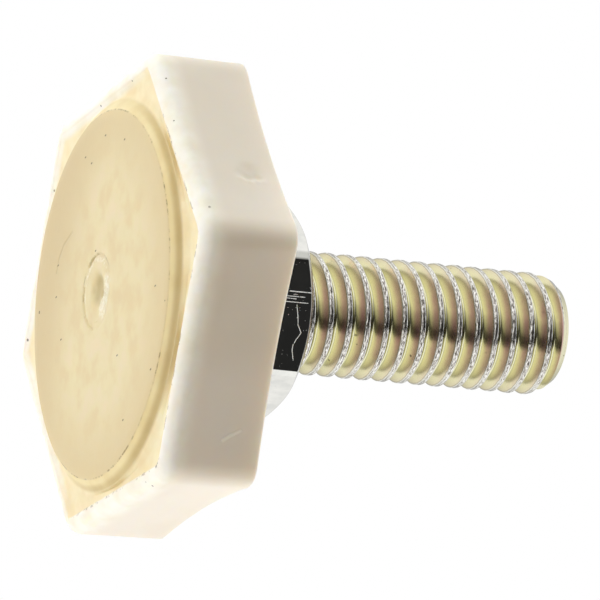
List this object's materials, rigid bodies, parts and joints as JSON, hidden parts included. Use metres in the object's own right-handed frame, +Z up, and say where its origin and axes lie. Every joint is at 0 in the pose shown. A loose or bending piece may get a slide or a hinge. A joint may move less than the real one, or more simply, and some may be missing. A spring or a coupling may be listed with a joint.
{
  "type": "washing machine foot",
  "caption": "Hexagonal plastic foot pad moulded on an upright threaded bolt with a lock nut, screwed in or out to level an appliance.",
  "frame": {"origin": "centre of the floor disc, at floor level", "axes": "+Z up along the bolt; two of the pad's six sides face +Y and -Y, and two of its corners point along +X and -X"},
  "size_m": [0.0308, 0.027, 0.0305],
  "materials": {
    "pad_plastic": "ivory moulded plastic, yellowed underneath, satin",
    "yellow_zinc": "zinc plate with yellow iridescent passivation",
    "bright_zinc": "bright zinc plate"
  },
  "bodies": {
    "foot": {"foot_pad": "pad_plastic", "bolt": "yellow_zinc"},
    "nut": {"lock_nut": "bright_zinc"}
  },
  "joints": [
    {"name": "nut_travel", "type": "slide", "parent": "foot", "child": "nut", "axis": [0, 0, 1], "range_m": [0, 0.0175]}
  ]
}
